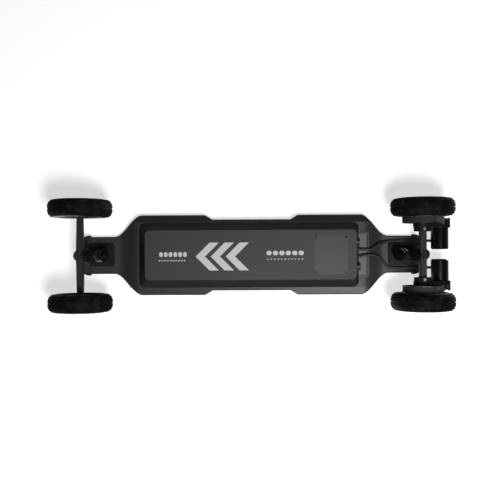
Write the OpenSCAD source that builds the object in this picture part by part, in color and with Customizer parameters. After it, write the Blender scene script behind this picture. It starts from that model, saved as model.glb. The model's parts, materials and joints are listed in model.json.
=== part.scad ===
// Four-wheeled electric skateboard with air tyres and a belt drive on each rear wheel.
// +X points to the nose, +Y to the rider's left and +Z up. The wheels stand on z = 0, and
// the origin is on the ground midway between the axles.

/* [Deck] */
// Length of the deck from tip to tip
deck_length = 972; // [900:1:1180]
// Width of the standing platform
deck_width = 228; // [200:1:280]
// Width at the narrow waist in the middle
waist_width = 202; // [180:1:240]
// Width of the two necks that carry the trucks
neck_width = 106; // [96:1:130]
// Thickness of the deck
deck_thickness = 11; // [8:0.5:14]
// Height of the platform's underside above the axles
platform_rise = 82.5; // [76:0.5:100]
// How far the necks stand above the platform
neck_rise = 12; // [8:0.5:16]
// How far the rails turn up at the edges
rail_rise = 8; // [0:0.5:12]

/* [Belly] */
// Depth of the cover that closes the battery bay
belly_depth = 28; // [27:0.5:40]
// Width of the belly cover's flat face
belly_width = 139; // [134:1:150]
// Width of the access cover over the controller
access_width = 108; // [90:1:120]
// Number of cells in each of the two rows
cells_in_row = 20; // [12:1:22]

/* [Wheels] */
// Outer diameter of the air tyres
tyre_diameter = 175; // [150:1:210]
// Width of the tyres
tyre_width = 49.5; // [44:0.5:60]
// Distance across the centres of a pair of wheels
track = 256; // [246:1:310]
// Diameter of the axles
axle_diameter = 10; // [8:0.5:12]
// Outer diameter of the wheel bearings
bearing_diameter = 22; // [20:0.5:26]

/* [Trucks] */
// Lean of the kingpins from upright
kingpin_lean = 38; // [34:1:42]
// Diameter of the kingpins
kingpin_diameter = 10; // [8:0.5:12]
// Width of the hanger bars at the middle
hanger_width = 20.6; // [18:0.1:24]
// Diameter of the cushioning bushings
bushing_diameter = 26; // [22:0.5:30]

/* [Drive] */
// Number of teeth on each wheel's pulley
drive_teeth = 66; // [60:1:72]
// Number of teeth on each motor's pulley
motor_teeth = 15; // [13:1:18]
// Width of the drive belts
belt_width = 15; // [12:0.5:16]
// Diameter of the motor cans
motor_diameter = 48; // [42:0.5:58]
// Length of the motor cans
motor_length = 60; // [50:0.5:66]

/* [Fits] */
// Radial clearance of a shaft that turns in its bore
running_clearance = 0.08; // [0.02:0.01:0.1]
// Gap at a seated fit that does not move
seat_gap = 0.05; // [0.02:0.01:0.1]
// Gap between a belt and the pulleys that turn inside it
belt_gap = 0.3; // [0.2:0.05:0.5]

/* [Hidden] */
$fn = 48;

// Main levels and lengths
axle_z = tyre_diameter / 2;
wheel_y = track / 2;
half_deck = deck_length / 2;
axle_x = half_deck - 21;
platform_z = axle_z + platform_rise;
neck_z = platform_z + neck_rise;
belly_z = platform_z - belly_depth;

// Deck outline: waist, platform, flare and neck, given along one half
waist_end = half_deck * 0.227;
waist_blend = 22;
flare_start = half_deck - 174;
flare_end = half_deck - 96;
rise_start = half_deck - 168;
rise_end = half_deck - 110;
tip_radius = 25;
edge_chamfer = 3;
foot_width = belly_width + 45;
flat_half = foot_width / 2 + 1;

function smooth(a, b, x) = let (s = min(1, max(0, (x - a) / (b - a)))) s * s * (3 - 2 * s);
function ramp(a, b, x) = min(1, max(0, (x - a) / (b - a)));
function round_in(x) = let (d = max(0, abs(x) - (half_deck - tip_radius)))
  tip_radius - sqrt(max(0, tip_radius * tip_radius - d * d));
function half_width(x) = let (a = abs(x), w = waist_width / 2, p = deck_width / 2)
  w + (p - w) * ramp(waist_end, waist_end + waist_blend, a)
  - (p - neck_width / 2) * smooth(flare_start, flare_end, a) - round_in(x);
function rail(y) = rail_rise * max(0, abs(y) - flat_half) / (deck_width / 2 - flat_half);
function under_z(x, y) = platform_z + neck_rise * smooth(rise_start, rise_end, abs(x)) + rail(y);

// Stations along half the deck, closer together where it curves
flare_steps = 14;
tip_steps = 5;
half_stations = concat(
  [0, waist_end, waist_end + waist_blend],
  [for (i = [0:flare_steps]) flare_start + (flare_end - flare_start) * i / flare_steps],
  [for (i = [0:tip_steps]) half_deck - tip_radius * (1 - sin(75 * i / tip_steps))]
);
stations = concat(
  [for (i = [len(half_stations) - 1:-1:1]) -half_stations[i]],
  half_stations
);

// Joins closed rings of points, all of one length, into a solid with flat ends
module loft(rings) {
  n = len(rings[0]);
  last = (len(rings) - 1) * n;
  sides = [for (i = [0:len(rings) - 2], j = [0:n - 1]) let (k = (j + 1) % n, a = i * n, b = a + n)
    each [[a + j, a + k, b + j], [a + k, b + k, b + j]]];
  caps = [for (j = [0:n / 2 - 2]) let (q = [j, j + 1, n - 2 - j, n - 1 - j]) each
    [[q[0], q[2], q[1]], [q[0], q[3], q[2]],
      [last + q[0], last + q[1], last + q[2]], [last + q[0], last + q[2], last + q[3]]]];
  polyhedron(points = [for (r = rings) each r], faces = concat(sides, caps));
}

// Rounded rectangle that keeps true arcs at its corners
module rounded(length, width, r) {
  square([length - 2 * r, width], center = true);
  square([length, width - 2 * r], center = true);
  for (x = [-1, 1], y = [-1, 1]) translate([x * (length / 2 - r), y * (width / 2 - r)]) circle(r);
}

module rounded_plate(length, width, r, height) {
  linear_extrude(height) rounded(length, width, r);
}

module tube(outer, inner, height) {
  difference() {
    cylinder(r = outer, h = height);
    translate([0, 0, -1]) cylinder(r = inner, h = height + 2);
  }
}

// Hexagon prism, given across its flats
module hexagon(flats, height) {
  cylinder(r = flats / 2 / cos(30), h = height, $fn = 6);
}

// ---- Deck and grip tape ----

bolt_r = 2.5;
bolt_hole_r = 2.8;
bolt_head_r = 5;
bolt_reach = 43;
bolt_spacing_x = 54;
bolt_spacing_y = 41.3;
riser_thickness = 6;
plate_thickness = 8;
plate_length = 68;
plate_width = 62;

module at_truck_bolts() {
  for (e = [-1, 1], i = [-1, 1], j = [-1, 1])
    translate([e * (axle_x - bolt_reach) + i * bolt_spacing_x / 2, j * bolt_spacing_y / 2, 0])
      children();
}

// Heights across the deck at one station, from the right edge to the left
function across(h) = let (b = min(flat_half, h - 6))
  [-h + edge_chamfer, -b, 0, b, h - edge_chamfer];

function deck_ring(x) = let (h = half_width(x), ys = across(h), t = deck_thickness) concat(
  [[x, -h, under_z(x, h) + t - edge_chamfer], [x, -h, under_z(x, h) + edge_chamfer]],
  [for (y = ys) [x, y, under_z(x, y)]],
  [[x, h, under_z(x, h) + edge_chamfer], [x, h, under_z(x, h) + t - edge_chamfer]],
  [for (i = [4:-1:0]) [x, ys[i], under_z(x, ys[i]) + t]]
);

tray_length = 27;
tray_width = 122;
tray_lip = 3;
belly_rear = half_deck * 0.624;

module deck() color([0.09, 0.09, 0.1]) {
  difference() {
    loft([for (x = stations) deck_ring(x)]);
    at_truck_bolts() {
      cylinder(r = bolt_hole_r, h = 2 * neck_z);
      translate([0, 0, neck_z + deck_thickness - 3.2])
        cylinder(r1 = bolt_hole_r, r2 = bolt_head_r + 1.2, h = 4.2);
    }
  }
  // Shallow lipped tray behind the belly, where the leads come out
  translate([-belly_rear - 0.5 - tray_length / 2, 0, platform_z - tray_lip]) difference() {
    rounded_plate(tray_length + 4, tray_width + 6, 8, tray_lip + 0.5);
    translate([3, 0, -1]) rounded_plate(tray_length + 4, tray_width, 5, tray_lip + 0.9);
    translate([tray_length / 2 - 4, -tray_width, -1]) cube([20, 2 * tray_width, tray_lip + 2]);
  }
}

grip_thickness = 1.2;
grip_lift = 0.1;

function grip_ring(x) = let (ys = across(half_width(x)), t = deck_thickness + grip_lift) concat(
  [for (y = ys) [x, y, under_z(x, y) + t]],
  [for (i = [4:-1:0]) [x, ys[i], under_z(x, ys[i]) + t + grip_thickness]]
);

module grip_tape() color([0.05, 0.05, 0.05]) difference() {
  loft([for (x = stations) grip_ring(x)]);
  at_truck_bolts() cylinder(r = bolt_head_r + 1.2, h = 2 * neck_z);
}

// ---- Rubber caps over the deck's tips ----

bumper_length = 28;
bumper_wall = 4;
bumper_floor = 3;

module bumper(open_reach, open_width) {
  depth = deck_thickness + bumper_floor + 1;
  outer = neck_width + 2 * bumper_wall;
  translate([half_deck - 100 + bumper_wall, 0, neck_z - bumper_floor]) difference() {
    intersection() {
      rounded_plate(200, outer, tip_radius + bumper_wall, depth);
      translate([100 - bumper_wall - bumper_length, -outer, 0]) cube([bumper_length + 20, 2 * outer, depth]);
    }
    translate([-bumper_wall + 0.3, 0, bumper_floor])
      rounded_plate(200, neck_width + 0.6, tip_radius, depth);
    translate([-1, -open_width / 2, -1])
      cube([101 - bumper_wall - bumper_length + open_reach, open_width, depth + 2]);
  }
}

module end_bumpers() color([0.03, 0.03, 0.03]) {
  bumper(19, 72);
  mirror([1, 0, 0]) bumper(2, 66);
}

// ---- Truck mounting ----

// Draws its children at one truck, with +X outboard and the origin on the axle
module at_truck(e) {
  if (e > 0) translate([axle_x, 0, axle_z]) children();
  else mirror([1, 0, 0]) translate([axle_x, 0, axle_z]) children();
}

neck_up = neck_z - axle_z;
plate_top = neck_up - riser_thickness;
plate_under = plate_top - plate_thickness;

module riser_pads() color([0.04, 0.04, 0.04]) for (e = [-1, 1]) at_truck(e) difference() {
  translate([-bolt_reach + 2, 0, plate_top])
    rounded_plate(plate_length + 2, plate_width + 2, 7, riser_thickness);
  for (i = [-1, 1], j = [-1, 1])
    translate([-bolt_reach + i * bolt_spacing_x / 2, j * bolt_spacing_y / 2, 0])
      cylinder(r = bolt_hole_r, h = 2 * neck_up);
}

module truck_bolts() color([0.25, 0.25, 0.26]) at_truck_bolts() {
  top = neck_z + deck_thickness;
  under = axle_z + plate_under;
  translate([0, 0, under - 8]) cylinder(r = bolt_r, h = top - under + 8);
  translate([0, 0, top - 2.9]) cylinder(r1 = bolt_r, r2 = bolt_head_r, h = 2.9);
  translate([0, 0, under - 5.5]) difference() {
    hexagon(8, 5.5);
    translate([0, 0, -1]) cylinder(r = bolt_r + seat_gap, h = 8);
  }
}

// ---- Trucks: each has an inner kingpin in the baseplate and an outer one in the arm ----

kingpin_r = kingpin_diameter / 2;
axle_r = axle_diameter / 2;
bushing_r = bushing_diameter / 2;
// Half height of a pivot ring, which the axle passes through between the two bushings
ring_half = axle_r + 2;
bushing_height = 13;
seat_at = ring_half + bushing_height;
seat_height = 14;
washer_r = bushing_r + 4;
washer_height = 2;
nut_flats = 1.7 * kingpin_diameter;
nut_height = kingpin_diameter;
ring_r = bushing_r + 4.5;
hub_r = bushing_r + 9;
inner_pivot = [-44, plate_under - 31];
// The axle passes beside the outer kingpin, a little below the middle of its ring
axle_beside = kingpin_r + axle_r + 1.2;
axle_below = 0.5;
outer_pivot = [
  axle_below * sin(kingpin_lean) - axle_beside * cos(kingpin_lean),
  axle_below * cos(kingpin_lean) + axle_beside * sin(kingpin_lean)
];

// Draws its children along a kingpin, with +Z up the pin and the origin at its pivot
module on_kingpin(p) {
  translate([p[0], 0, p[1]]) rotate([0, kingpin_lean, 0]) children();
}

module baseplate(e) color([0.07, 0.07, 0.07]) at_truck(e) difference() {
  union() {
    translate([-bolt_reach + 2, 0, plate_under]) rounded_plate(plate_length, plate_width, 6, plate_thickness);
    hull() {
      on_kingpin(inner_pivot) translate([0, 0, seat_at]) cylinder(r = kingpin_r + 9, h = 6, $fn = 32);
      translate([-62, -13, plate_under]) cube([52, 26, 1]);
    }
  }
  for (i = [-1, 1], j = [-1, 1])
    translate([-bolt_reach + i * bolt_spacing_x / 2, j * bolt_spacing_y / 2, 0])
      cylinder(r = bolt_hole_r, h = 2 * neck_up);
  on_kingpin(inner_pivot) {
    cylinder(r = kingpin_r + seat_gap, h = 80);
    translate([0, 0, seat_at - 40]) cylinder(r = bushing_r + 1.4, h = 40);
    translate([0, 0, seat_at + seat_height]) cylinder(r = nut_flats / 2 / cos(30) + 0.6, h = 40);
  }
}

// Bolt, lower washer and lock nut, all of one kingpin
module kingpin() {
  translate([0, 0, -seat_at - washer_height - nut_height - 2])
    cylinder(r = kingpin_r, h = 2 * seat_at + washer_height + nut_height + 2 + seat_height);
  translate([0, 0, seat_at + seat_height]) hexagon(nut_flats, 6);
  translate([0, 0, -seat_at - washer_height]) tube(washer_r, kingpin_r + seat_gap, washer_height);
  translate([0, 0, -seat_at - washer_height - nut_height - seat_gap]) difference() {
    union() {
      hexagon(nut_flats, nut_height - 0.4);
      cylinder(r = nut_flats / 2 - 0.4, h = nut_height);
    }
    translate([0, 0, -1]) cylinder(r = kingpin_r + seat_gap, h = nut_height + 2);
  }
}

// Barrel above the ring and cone below it, each a ring of urethane round the pin
module bushing_pair() {
  bore = kingpin_r + 0.4;
  translate([0, 0, ring_half]) rotate_extrude()
    polygon([[bore, 0], [bushing_r - 1, 0], [bushing_r, 3], [bushing_r, bushing_height - 3],
      [bushing_r - 1, bushing_height], [bore, bushing_height]]);
  mirror([0, 0, 1]) translate([0, 0, ring_half]) rotate_extrude()
    polygon([[bore, 0], [bushing_r - 1, 0], [bushing_r, 2], [bushing_r - 2.5, bushing_height],
      [bore, bushing_height]]);
}

module truck_arm(e) color([0.09, 0.09, 0.09]) at_truck(e) difference() {
  union() {
    on_kingpin(inner_pivot) translate([0, 0, -ring_half]) cylinder(r = ring_r, h = 2 * ring_half);
    on_kingpin(outer_pivot) translate([0, 0, seat_at]) cylinder(r = ring_r - 1, h = seat_height);
    hull() {
      on_kingpin(inner_pivot) translate([ring_r - 9, 0, 1 - ring_half])
        cylinder(r = 8, h = 2 * ring_half - 2, $fn = 32);
      on_kingpin(outer_pivot) translate([9 - ring_r, 0, seat_at + 1])
        cylinder(r = 9, h = seat_height - 2, $fn = 32);
    }
  }
  on_kingpin(inner_pivot) {
    translate([0, 0, -20]) cylinder(r = kingpin_r + running_clearance, h = 40);
    translate([0, 0, ring_half]) cylinder(r = bushing_r + 1.4, h = 40);
  }
  on_kingpin(outer_pivot) {
    cylinder(r = kingpin_r + seat_gap, h = 60);
    translate([0, 0, -20]) cylinder(r = bushing_r + 1.4, h = 20 + seat_at);
  }
}

hanger_tip = 17;
bar_chamfer = 3;
rear_bar = hanger_width - 1.6;
slab_half = 0.05;
rear_hub_proud = 0.4;

// Thin slab of a chamfered square bar, across Y
module bar_slab(y, w) {
  c = bar_chamfer;
  h = w / 2;
  translate([0, y + slab_half, 0]) rotate([90, 0, 0]) linear_extrude(2 * slab_half)
    polygon([[-h + c, -h], [h - c, -h], [h, -h + c], [h, h - c], [h - c, h], [-h + c, h],
      [-h, h - c], [-h, -h + c]]);
}

// Centre of a hanger: the hub round the outer kingpin, cut off at its reach, with its bushing seats
module hanger_body(e, reach) color([0.16, 0.16, 0.17]) at_truck(e) difference() {
  union() {
    children();
    intersection() {
      on_kingpin(outer_pivot) translate([0, 0, -ring_half - 3]) cylinder(r = hub_r, h = 2 * ring_half + 3);
      translate([reach - 4 * hub_r, -2 * hub_r, -2 * hub_r]) cube(4 * hub_r);
    }
  }
  on_kingpin(outer_pivot) {
    translate([0, 0, -30]) cylinder(r = kingpin_r + running_clearance, h = 60);
    translate([0, 0, ring_half]) cylinder(r = hub_r + 4, h = 12);
    translate([0, 0, -ring_half - 40]) cylinder(r = bushing_r + 0.6, h = 40);
  }
  rotate([90, 0, 0]) cylinder(r = axle_r + seat_gap, h = track + 20, center = true);
}

hub_half = 18;
axle_shoulder = wheel_y - hub_half - 4;

module front_hanger() hanger_body(1, hub_r) for (s = [-1, 1]) hull() {
  bar_slab(0, hanger_width);
  bar_slab(s * axle_shoulder, hanger_tip);
}

module rear_hanger() hanger_body(-1, rear_bar / 2 + rear_hub_proud) hull() {
  bar_slab(-mount_outer, rear_bar);
  bar_slab(mount_outer, rear_bar);
}

nut_at = hub_half + 1.5;
axle_nut_height = 5;

module axle(e) color([0.5, 0.5, 0.52]) at_truck(e) rotate([90, 0, 0])
  cylinder(r = axle_r, h = 2 * (wheel_y + nut_at + axle_nut_height + 0.2), center = true);

// Draws its children on one side of an axle, with +Z outward and the origin on the centre line
module at_side(e, s) {
  translate([e * axle_x, 0, axle_z]) rotate([-90 * s, 0, 0]) children();
}

module axle_nuts(e, shoulder) color([0.55, 0.55, 0.56]) for (s = [-1, 1]) at_side(e, s) {
  translate([0, 0, shoulder + slab_half])
    tube(axle_r + 2.6, axle_r + seat_gap, wheel_y - hub_half - shoulder - slab_half);
  translate([0, 0, wheel_y + hub_half]) tube(axle_r + 3, axle_r + seat_gap, 1.5);
  translate([0, 0, wheel_y + nut_at]) difference() {
    hexagon(axle_diameter * 1.6, axle_nut_height);
    translate([0, 0, -1]) cylinder(r = axle_r + seat_gap, h = axle_nut_height + 2);
  }
}

// ---- Wheels ----

tyre_r = tyre_diameter / 2;
bead_r = 43.5;
bead_half = 16;
tyre_wall = 5;
bead_gap = 0.3;
flange_r = 49;
// The sidewalls leave the rim just outside its flanges
sidewall_r = flange_r + 0.4;
arc_share = pow(sin(50), 0.8);
arc_foot = (2 * sidewall_r - tyre_r * (1 - arc_share)) / (1 + arc_share);

module at_wheel(e, s) {
  at_side(e, s) translate([0, 0, wheel_y]) children();
}

// Half-open oval through the tread, from one bead round to the other
function tyre_arc(half, top, foot) = let (mid = (top + foot) / 2, rise = (top - foot) / 2)
  [for (a = [-50:10:230]) let (c = cos(a), s = sin(a))
    [mid + rise * sign(s) * pow(abs(s), 0.8), half * sign(c) * pow(abs(c), 0.8)]];
function reversed(p) = [for (i = [len(p) - 1:-1:0]) p[i]];

module tyre(e, s) color([0.06, 0.06, 0.06]) at_wheel(e, s) rotate_extrude() polygon(concat(
  [[bead_r + bead_gap, bead_half], [sidewall_r, bead_half]],
  tyre_arc(tyre_width / 2, tyre_r, arc_foot),
  [[sidewall_r, -bead_half], [bead_r + bead_gap, -bead_half], [bead_r + bead_gap, 6 - bead_half]],
  reversed(tyre_arc(tyre_width / 2 - tyre_wall, tyre_r - tyre_wall - 2, bead_r + 1)),
  [[bead_r + bead_gap, bead_half - 6]]
));

spokes = 5;
bearing_r = bearing_diameter / 2;
bearing_height = 6;
web_half = 6;
barrel_r = 36;
window_in = 21;
window_out = 33;
window_half = 9;
clamp_screw_at = window_out - 5;
clamp_seat = web_half - 1.5;
screw_well_r = 4.2;

module rim(e, s) color([0.12, 0.12, 0.13]) at_wheel(e, s) {
  difference() {
    rotate_extrude() {
      translate([axle_r + 4, -hub_half]) square([bearing_r - axle_r, 2 * hub_half]);
      translate([bearing_r + 3, -web_half]) square([barrel_r - bearing_r, 2 * web_half]);
      difference() {
        translate([barrel_r, -hub_half - 1]) square([flange_r - barrel_r, 2 * hub_half + 2]);
        translate([bead_r, -bead_half - 0.1]) square([flange_r, 2 * bead_half + 0.2]);
      }
    }
    for (z = [-hub_half - 1, hub_half - bearing_height])
      translate([0, 0, z]) cylinder(r = bearing_r + seat_gap, h = bearing_height + 1);
    for (i = [0:spokes - 1]) rotate([0, 0, (i + 0.5) * 360 / spokes]) hull() {
      translate([window_in + 3, 0, -20]) cylinder(r = 3, h = 40, $fn = 32);
      for (k = [-1, 1]) translate([window_out - 3.5, k * window_half, -20]) cylinder(r = 3, h = 40, $fn = 32);
    }
    for (i = [0:spokes - 1]) rotate([0, 0, i * 360 / spokes])
      translate([clamp_screw_at, 0, clamp_seat]) cylinder(r = screw_well_r, h = 10);
  }
  // Heads of the screws that clamp the two halves of the rim
  for (i = [0:spokes - 1]) rotate([0, 0, i * 360 / spokes])
    translate([clamp_screw_at, 0, clamp_seat + seat_gap]) difference() {
      cylinder(r = screw_well_r - 0.6, h = 4);
      translate([0, 0, 1.5]) hexagon(4, 4);
    }
  // Valve stem, in a window between two spokes
  rotate([0, 0, 180 / spokes]) translate([barrel_r - seat_gap, 0, 0]) rotate([0, -90, 0])
    cylinder(r = 2.6, h = 11);
}

module bearings(e, s) color([0.6, 0.6, 0.62]) at_wheel(e, s) {
  for (z = [-hub_half, hub_half - bearing_height]) translate([0, 0, z])
    difference() {
      tube(bearing_r, axle_r + running_clearance, bearing_height);
      for (k = [-1, bearing_height - 0.6]) translate([0, 0, k]) tube(bearing_r - 1.8, axle_r + 1.8, 1.6);
    }
  translate([0, 0, bearing_height - hub_half + seat_gap])
    tube(axle_r + 2, axle_r + running_clearance, 2 * (hub_half - bearing_height - seat_gap));
}

// ---- Belt drive ----

belt_pitch = 5;
belt_thickness = 2;
land = 0.57;
flange_height = 1.2;
flange_rim = 3.2;
drive_r = drive_teeth * belt_pitch / PI / 2 - land;
motor_r = motor_teeth * belt_pitch / PI / 2 - land;
pulley_width = belt_width + 2 * flange_height + 0.6;
pulley_outer = wheel_y - tyre_width / 2 - 0.3;
pulley_inner = pulley_outer - pulley_width;
mount_thickness = 10;
mount_outer = pulley_inner - 1.5;
mount_inner = mount_outer - mount_thickness;
// Motor axis, outboard of the axle and above it
motor_offset = [58.6, 47.3];
motor_span = norm(motor_offset);
motor_angle = atan2(motor_offset[1], motor_offset[0]);

// Draws its children round an axle, flat in X and Z, with the motor along +X and +Z outward
module in_drive_plane(s, y) {
  translate([-axle_x, s * y, axle_z]) rotate([90, 0, 0]) rotate([0, 0, 180 - motor_angle])
    mirror([0, 0, s > 0 ? 1 : 0]) children();
}

// Points of a loop round two circles, joined by their outer tangents
function loop_points(r1, r2) = let (f = acos((r1 - r2) / motor_span), n = 48) concat(
  [for (i = [0:n]) let (a = f + (360 - 2 * f) * i / n) r1 * [cos(a), sin(a)]],
  [for (i = [0:n / 4]) let (a = -f + 2 * f * i / (n / 4)) [motor_span, 0] + r2 * [cos(a), sin(a)]]
);

module drive_pulley(s) color([0.2, 0.2, 0.21]) at_side(-1, s) difference() {
  union() {
    translate([0, 0, pulley_inner]) cylinder(r = drive_r, h = pulley_width);
    for (z = [pulley_inner, pulley_outer - flange_height])
      translate([0, 0, z]) cylinder(r = drive_r + flange_rim, h = flange_height);
    translate([0, 0, pulley_outer - 1])
      cylinder(r = barrel_r + 4, h = wheel_y - hub_half - 1 - pulley_outer + 1);
  }
  translate([0, 0, pulley_inner - 1]) cylinder(r = axle_r + 8, h = 60);
  translate([0, 0, pulley_inner - 1]) cylinder(r = drive_r - 5, h = pulley_width - 5);
  for (i = [0:spokes - 1]) rotate([0, 0, (i + 0.5) * 360 / spokes])
    translate([26, 0, pulley_inner]) cylinder(r = 8, h = 60);
}

module belt(s) color([0.05, 0.05, 0.05])
  in_drive_plane(s, pulley_inner + flange_height + 0.3) linear_extrude(belt_width) difference() {
    polygon(loop_points(drive_r + belt_gap + belt_thickness, motor_r + belt_gap + belt_thickness));
    polygon(loop_points(drive_r + belt_gap, motor_r + belt_gap));
  }

shaft_r = 4;
can_r = motor_diameter / 2;
can_inner = mount_inner - motor_length;
can_wall = 2.5;
rotor_gap = 1.5;

module on_motor(s, y) {
  in_drive_plane(s, y) translate([motor_span, 0, 0]) children();
}

// Shaft and rotor bell inside the can, and the toothed pulley keyed to the shaft
module motor_rotor(s) color([0.45, 0.45, 0.47]) {
  on_motor(s, can_inner + can_wall + 2) cylinder(r = shaft_r, h = pulley_outer - can_inner - can_wall - 3);
  on_motor(s, can_inner + can_wall + 4) tube(can_r - can_wall - rotor_gap, shaft_r, motor_length - 12);
  on_motor(s, pulley_inner) {
    tube(motor_r, shaft_r + seat_gap, pulley_width);
    for (z = [0, pulley_width - flange_height]) translate([0, 0, z])
      tube(motor_r + flange_rim, shaft_r + seat_gap, flange_height);
  }
}

lead_r = 3.8;
gland_turn = 25;

// Closed can with a chamfered inner end and the gland that its lead enters
module motor_can(s) color([0.04, 0.04, 0.04]) {
  on_motor(s, can_inner) difference() {
    union() {
      cylinder(r1 = can_r - 3, r2 = can_r, h = 3);
      translate([0, 0, 3]) cylinder(r = can_r, h = motor_length - 3);
    }
    translate([0, 0, can_wall]) cylinder(r = can_r - can_wall, h = motor_length);
  }
  translate([-axle_x - motor_offset[0], s * lead_y, axle_z + motor_offset[1]])
    rotate([0, gland_turn, 0]) translate([0, 0, can_r - 1]) cylinder(r = lead_r + 2, h = gland_height + 1);
}

guard_r = motor_diameter / 2 + 5;
guard_wall = 2.5;
guard_turn = motor_angle - 45;
clamp_r = 24;
clamp_width = 21;

// Plate, the clamp that grips the hanger and the guard round the outboard side of the motor's pulley
module motor_mount(s) color([0.06, 0.06, 0.06]) difference() {
  union() {
    in_drive_plane(s, mount_inner) linear_extrude(mount_thickness)
      polygon(loop_points(clamp_r + 1.5, can_r + 1));
    in_drive_plane(s, mount_outer - clamp_width) cylinder(r = clamp_r, h = clamp_width);
    on_motor(s, mount_inner) intersection() {
      union() {
        tube(guard_r, guard_r - guard_wall, mount_thickness + pulley_width - 1);
        cylinder(r = guard_r, h = mount_thickness);
      }
      rotate([0, 0, guard_turn]) translate([0, 0, -1]) cube([2 * guard_r, 2 * guard_r, 60]);
    }
  }
  translate([-axle_x, 0, axle_z]) hull() {
    bar_slab(s * (mount_outer - clamp_width - 1), rear_bar + 2 * seat_gap);
    bar_slab(s * (mount_outer + 1), rear_bar + 2 * seat_gap);
  }
  on_motor(s, mount_inner - 1) cylinder(r = shaft_r + running_clearance, h = mount_thickness + 2);
  mount_screw_places(s) translate([0, 0, -1]) cylinder(r = screw_head_r + 0.4, h = 4.5);
  mount_screw_places(s) cylinder(r = screw_r + 0.2, h = clamp_r - rear_bar / 2);
  // Slots that let the motor slide to tension the belt
  on_motor(s, mount_inner - 1) for (a = [45:90:315]) rotate([0, 0, a]) hull()
    for (k = [-1, 1]) translate([12.5, k * 1.5, 0]) cylinder(r = 1.9, h = mount_thickness + 2, $fn = 24);
}

screw_r = 2;
screw_head_r = 3.5;

module mount_screw_places(s) {
  for (y = [mount_outer - 5.5, mount_outer - clamp_width + 5.5])
    translate([-axle_x, s * y, axle_z - clamp_r]) children();
}

module mount_screws() color([0.5, 0.5, 0.5]) for (s = [-1, 1]) mount_screw_places(s) difference() {
  union() {
    translate([0, 0, 0.5]) cylinder(r = screw_head_r, h = 3);
    translate([0, 0, 3]) cylinder(r = screw_r, h = clamp_r - rear_bar / 2 - 3.1);
  }
  hexagon(3, 2.5);
}

// ---- Belly cover and what it holds ----

belly_front = half_deck * 0.654;
belly_wall = 2.5;
flat_front = belly_front - 20;
flat_rear = belly_rear - 9;

// Solid between the foot outline and the flat face, drawn in by an inset all round
module belly_shape(inset, top) {
  hull() {
    translate([(flat_front - flat_rear) / 2, 0, belly_z + inset])
      linear_extrude(0.1) rounded(flat_front + flat_rear - 2 * inset, belly_width - 2 * inset, 14, $fn = 32);
    translate([(belly_front - belly_rear) / 2, 0, top - 0.1])
      linear_extrude(0.1) rounded(belly_front + belly_rear - 2 * inset, foot_width - 2 * inset, 16, $fn = 32);
  }
}

access_front = -half_deck * 0.362;
access_length = 93;
access_middle = [access_front - access_length / 2, 0];
access_thickness = 2;
panel_length = 70;
panel_width = 74;
fitting_z = platform_z - 14;
button_y = 36;
socket_y = -33;
fitting_x = -belly_rear + 3;
left_exit = [-belly_rear, 14.5];
right_exit = [-belly_rear, -6];

module lead_collar(p, r, length) {
  translate([p[0] - 2, p[1], lead_z]) rotate([0, 90, 0]) cylinder(r = r, h = length);
}

pad_r = 10.8;
collar_wall = 1.7;

// Block on the end wall that carries the button and the charge socket upright
module fitting_pad(y) {
  translate([fitting_x - 1.5, y, fitting_z]) rotate([0, 90, 0]) cylinder(r = pad_r, h = 9);
}

module belly_cover() color([0.13, 0.13, 0.14]) difference() {
  union() {
    difference() {
      belly_shape(0, platform_z);
      difference() {
        belly_shape(belly_wall, platform_z + 1);
        fitting_pad(button_y);
        fitting_pad(socket_y);
      }
    }
    intersection() {
      union() {
        fitting_pad(button_y);
        fitting_pad(socket_y);
        lead_collar(left_exit, lead_r + collar_wall, 8);
        lead_collar(right_exit, lead_r + collar_wall, 8);
      }
      translate([-half_deck, -100, belly_z]) cube([half_deck, 200, belly_depth]);
    }
  }
  translate([access_middle[0], 0, belly_z - 1])
    rounded_plate(access_length + 2 * seat_gap, access_width + 2 * seat_gap, 5, access_thickness + 1);
  translate([access_middle[0], 0, belly_z - 1]) rounded_plate(access_length - 18, access_width - 18, 5, 20);
  at_access_screws() cylinder(r = screw_r + 0.2, h = 8);
  fitting_bore(button_y, button_r + 1.5);
  fitting_bore(socket_y, socket_r);
  lead_collar(left_exit, lead_r + 0.2, 30);
  lead_collar(right_exit, lead_r + 0.2, 30);
}

module fitting_bore(y, r) {
  translate([fitting_x - 10, y, fitting_z]) rotate([0, 90, 0]) cylinder(r = r + seat_gap, h = 30);
}

module at_access_screws() {
  for (i = [-1, 1], j = [-1, 1])
    translate([access_middle[0] + i * (access_length / 2 - 5), j * (access_width / 2 - 5), belly_z])
      children();
}

module access_cover() color([0.17, 0.17, 0.18]) difference() {
  translate([access_middle[0], 0, belly_z - 0.8])
    rounded_plate(access_length, access_width, 5, access_thickness + 0.8 - seat_gap);
  // Shallow groove that outlines the panel's middle
  translate([access_middle[0], 0, belly_z - 1.8]) difference() {
    rounded_plate(panel_length, panel_width, 3, 1.4);
    translate([0, 0, -1]) rounded_plate(panel_length - 1.6, panel_width - 1.6, 2.4, 4);
  }
  at_access_screws() {
    translate([0, 0, -3]) cylinder(r = screw_r + 0.2, h = 8);
    translate([0, 0, -3]) cylinder(r = screw_head_r + 0.4, h = 3.4);
  }
}

module access_screws() color([0.1, 0.1, 0.1]) at_access_screws() difference() {
  union() {
    translate([0, 0, -0.7]) cylinder(r = screw_head_r, h = 1.1);
    cylinder(r = screw_r, h = 7);
  }
  translate([0, 0, -1]) hexagon(2.5, 1.3);
}

cell_r = 9.2;
cell_length = 65;
cell_pitch = 18.9;
bay_front = belly_front - 56;

module battery_cells() color([0.2, 0.35, 0.6])
  for (i = [0:cells_in_row - 1], s = [-1, 1])
    translate([bay_front - i * cell_pitch, s * 0.3, belly_z + belly_wall + 0.3 + cell_r])
      rotate([-90 * s, 0, 0]) cylinder(r = cell_r, h = cell_length);

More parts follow.
